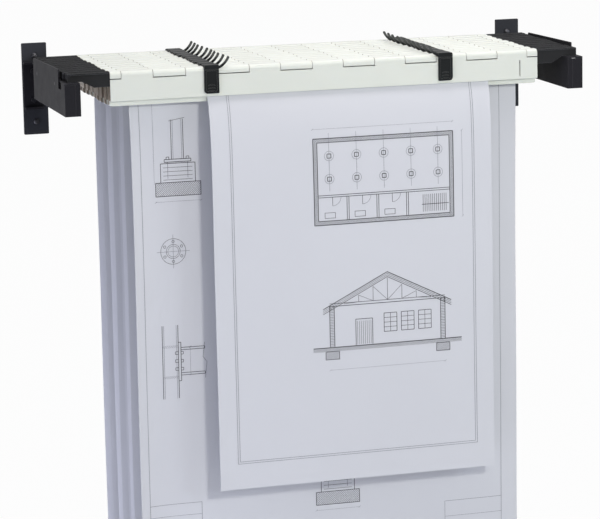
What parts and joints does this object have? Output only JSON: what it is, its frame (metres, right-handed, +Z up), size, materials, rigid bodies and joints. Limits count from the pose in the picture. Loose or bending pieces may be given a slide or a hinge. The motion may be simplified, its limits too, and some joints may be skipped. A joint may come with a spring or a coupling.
{
  "type": "plan hanging rack",
  "caption": "Wall rack for large drawings: two black bracket arms carry hinged clamp binders that hang sets of plan sheets from black end hangers, each locked by two swing clips.",
  "frame": {"origin": "centre of the four wall screw holes of the two brackets, on the wall face", "axes": "+Z up, +Y into the wall, +X to the right along the binders as seen from the front"},
  "size_m": [0.796, 0.2927, 0.8795],
  "materials": {
    "bracket_black": "satin black powder coat",
    "fastener_black": "blackened steel",
    "jaw_ivory": "ivory white, light gloss",
    "pin_steel": "bright drawn wire",
    "hanger_black": "moulded black, fine grain",
    "clip_black": "moulded black, slight sheen",
    "sheet_paper": "matt drawing paper with printed line work"
  },
  "bodies": {
    "brackets": {"left_wall_plate": "bracket_black", "left_arm": "bracket_black", "left_stop_rail": "bracket_black", "right_wall_plate": "bracket_black", "right_arm": "bracket_black", "right_stop_rail": "bracket_black", "arm_screws_and_rivets": "fastener_black"},
    "binder_01": {"binder_01_back_jaw": "jaw_ivory", "binder_01_front_jaw": "jaw_ivory", "binder_01_hinge_rod": "pin_steel", "binder_01_hangers": "hanger_black", "binder_01_sheets": "sheet_paper"},
    "binder_01_clip_left_body": {"binder_01_clip_left": "clip_black"},
    "binder_01_clip_right_body": {"binder_01_clip_right": "clip_black"},
    "binder_02": {"binder_02_jaws": "jaw_ivory", "binder_02_hangers": "hanger_black", "binder_02_sheets": "sheet_paper"},
    "binder_02_clip_left_body": {"binder_02_clip_left": "clip_black"},
    "binder_02_clip_right_body": {"binder_02_clip_right": "clip_black"},
    "binder_03": {"binder_03_jaws": "jaw_ivory", "binder_03_hangers": "hanger_black", "binder_03_sheets": "sheet_paper"},
    "binder_03_clip_left_body": {"binder_03_clip_left": "clip_black"},
    "binder_03_clip_right_body": {"binder_03_clip_right": "clip_black"},
    "binder_04": {"binder_04_jaws": "jaw_ivory", "binder_04_hangers": "hanger_black", "binder_04_sheets": "sheet_paper"},
    "binder_04_clip_left_body": {"binder_04_clip_left": "clip_black"},
    "binder_04_clip_right_body": {"binder_04_clip_right": "clip_black"},
    "binder_05": {"binder_05_jaws": "jaw_ivory", "binder_05_hangers": "hanger_black", "binder_05_sheets": "sheet_paper"},
    "binder_05_clip_left_body": {"binder_05_clip_left": "clip_black"},
    "binder_05_clip_right_body": {"binder_05_clip_right": "clip_black"},
    "binder_06": {"binder_06_jaws": "jaw_ivory", "binder_06_hangers": "hanger_black", "binder_06_sheets": "sheet_paper"},
    "binder_06_clip_left_body": {"binder_06_clip_left": "clip_black"},
    "binder_06_clip_right_body": {"binder_06_clip_right": "clip_black"},
    "binder_07": {"binder_07_jaws": "jaw_ivory", "binder_07_hangers": "hanger_black", "binder_07_sheets": "sheet_paper"},
    "binder_07_clip_left_body": {"binder_07_clip_left": "clip_black"},
    "binder_07_clip_right_body": {"binder_07_clip_right": "clip_black"},
    "binder_08": {"binder_08_jaws": "jaw_ivory", "binder_08_hangers": "hanger_black", "binder_08_sheets": "sheet_paper"},
    "binder_08_clip_left_body": {"binder_08_clip_left": "clip_black"},
    "binder_08_clip_right_body": {"binder_08_clip_right": "clip_black"},
    "binder_09": {"binder_09_jaws": "jaw_ivory", "binder_09_hangers": "hanger_black", "binder_09_sheets": "sheet_paper"},
    "binder_09_clip_left_body": {"binder_09_clip_left": "clip_black"},
    "binder_09_clip_right_body": {"binder_09_clip_right": "clip_black"},
    "binder_10": {"binder_10_jaws": "jaw_ivory", "binder_10_hangers": "hanger_black", "binder_10_sheets": "sheet_paper"},
    "binder_10_clip_left_body": {"binder_10_clip_left": "clip_black"},
    "binder_10_clip_right_body": {"binder_10_clip_right": "clip_black"}
  },
  "joints": [
    {"name": "binder_01_lift", "type": "slide", "parent": "brackets", "child": "binder_01", "axis": [0, 0, 1], "range_m": [0, 0.06]},
    {"name": "binder_01_clip_left_swing", "type": "hinge", "parent": "binder_01", "child": "binder_01_clip_left_body", "pos_m": [-0.183, -0.2705, 0.0529], "axis": [0, -1, 0], "range_deg": [0, 95]},
    {"name": "binder_01_clip_right_swing", "type": "hinge", "parent": "binder_01", "child": "binder_01_clip_right_body", "pos_m": [0.1902, -0.2705, 0.0529], "axis": [0, 1, 0], "range_deg": [0, 95]},
    {"name": "binder_02_lift", "type": "slide", "parent": "brackets", "child": "binder_02", "axis": [0, 0, 1], "range_m": [0, 0.06]},
    {"name": "binder_02_clip_left_swing", "type": "hinge", "parent": "binder_02", "child": "binder_02_clip_left_body", "pos_m": [-0.18399, -0.2465, 0.0529], "axis": [0, -1, 0], "range_deg": [0, 95]},
    {"name": "binder_02_clip_right_swing", "type": "hinge", "parent": "binder_02", "child": "binder_02_clip_right_body", "pos_m": [0.18921, -0.2465, 0.0529], "axis": [0, 1, 0], "range_deg": [0, 95]},
    {"name": "binder_03_lift", "type": "slide", "parent": "brackets", "child": "binder_03", "axis": [0, 0, 1], "range_m": [0, 0.06]},
    {"name": "binder_03_clip_left_swing", "type": "hinge", "parent": "binder_03", "child": "binder_03_clip_left_body", "pos_m": [-0.18533, -0.2225, 0.0529], "axis": [0, -1, 0], "range_deg": [0, 95]},
    {"name": "binder_03_clip_right_swing", "type": "hinge", "parent": "binder_03", "child": "binder_03_clip_right_body", "pos_m": [0.18787, -0.2225, 0.0529], "axis": [0, 1, 0], "range_deg": [0, 95]},
    {"name": "binder_04_lift", "type": "slide", "parent": "brackets", "child": "binder_04", "axis": [0, 0, 1], "range_m": [0, 0.06]},
    {"name": "binder_04_clip_left_swing", "type": "hinge", "parent": "binder_04", "child": "binder_04_clip_left_body", "pos_m": [-0.1848, -0.1985, 0.0529], "axis": [0, -1, 0], "range_deg": [0, 95]},
    {"name": "binder_04_clip_right_swing", "type": "hinge", "parent": "binder_04", "child": "binder_04_clip_right_body", "pos_m": [0.1884, -0.1985, 0.0529], "axis": [0, 1, 0], "range_deg": [0, 95]},
    {"name": "binder_05_lift", "type": "slide", "parent": "brackets", "child": "binder_05", "axis": [0, 0, 1], "range_m": [0, 0.06]},
    {"name": "binder_05_clip_left_swing", "type": "hinge", "parent": "binder_05", "child": "binder_05_clip_left_body", "pos_m": [-0.18328, -0.1745, 0.0529], "axis": [0, -1, 0], "range_deg": [0, 95]},
    {"name": "binder_05_clip_right_swing", "type": "hinge", "parent": "binder_05", "child": "binder_05_clip_right_body", "pos_m": [0.18992, -0.1745, 0.0529], "axis": [0, 1, 0], "range_deg": [0, 95]},
    {"name": "binder_06_lift", "type": "slide", "parent": "brackets", "child": "binder_06", "axis": [0, 0, 1], "range_m": [0, 0.06]},
    {"name": "binder_06_clip_left_swing", "type": "hinge", "parent": "binder_06", "child": "binder_06_clip_left_body", "pos_m": [-0.18328, -0.1505, 0.0529], "axis": [0, -1, 0], "range_deg": [0, 95]},
    {"name": "binder_06_clip_right_swing", "type": "hinge", "parent": "binder_06", "child": "binder_06_clip_right_body", "pos_m": [0.18992, -0.1505, 0.0529], "axis": [0, 1, 0], "range_deg": [0, 95]},
    {"name": "binder_07_lift", "type": "slide", "parent": "brackets", "child": "binder_07", "axis": [0, 0, 1], "range_m": [0, 0.06]},
    {"name": "binder_07_clip_left_swing", "type": "hinge", "parent": "binder_07", "child": "binder_07_clip_left_body", "pos_m": [-0.1848, -0.1265, 0.0529], "axis": [0, -1, 0], "range_deg": [0, 95]},
    {"name": "binder_07_clip_right_swing", "type": "hinge", "parent": "binder_07", "child": "binder_07_clip_right_body", "pos_m": [0.1884, -0.1265, 0.0529], "axis": [0, 1, 0], "range_deg": [0, 95]},
    {"name": "binder_08_lift", "type": "slide", "parent": "brackets", "child": "binder_08", "axis": [0, 0, 1], "range_m": [0, 0.06]},
    {"name": "binder_08_clip_left_swing", "type": "hinge", "parent": "binder_08", "child": "binder_08_clip_left_body", "pos_m": [-0.18533, -0.1025, 0.0529], "axis": [0, -1, 0], "range_deg": [0, 95]},
    {"name": "binder_08_clip_right_swing", "type": "hinge", "parent": "binder_08", "child": "binder_08_clip_right_body", "pos_m": [0.18787, -0.1025, 0.0529], "axis": [0, 1, 0], "range_deg": [0, 95]},
    {"name": "binder_09_lift", "type": "slide", "parent": "brackets", "child": "binder_09", "axis": [0, 0, 1], "range_m": [0, 0.06]},
    {"name": "binder_09_clip_left_swing", "type": "hinge", "parent": "binder_09", "child": "binder_09_clip_left_body", "pos_m": [-0.18399, -0.0785, 0.0529], "axis": [0, -1, 0], "range_deg": [0, 95]},
    {"name": "binder_09_clip_right_swing", "type": "hinge", "parent": "binder_09", "child": "binder_09_clip_right_body", "pos_m": [0.18921, -0.0785, 0.0529], "axis": [0, 1, 0], "range_deg": [0, 95]},
    {"name": "binder_10_lift", "type": "slide", "parent": "brackets", "child": "binder_10", "axis": [0, 0, 1], "range_m": [0, 0.06]},
    {"name": "binder_10_clip_left_swing", "type": "hinge", "parent": "binder_10", "child": "binder_10_clip_left_body", "pos_m": [-0.183, -0.0545, 0.0529], "axis": [0, -1, 0], "range_deg": [0, 95]},
    {"name": "binder_10_clip_right_swing", "type": "hinge", "parent": "binder_10", "child": "binder_10_clip_right_body", "pos_m": [0.1902, -0.0545, 0.0529], "axis": [0, 1, 0], "range_deg": [0, 95]}
  ]
}
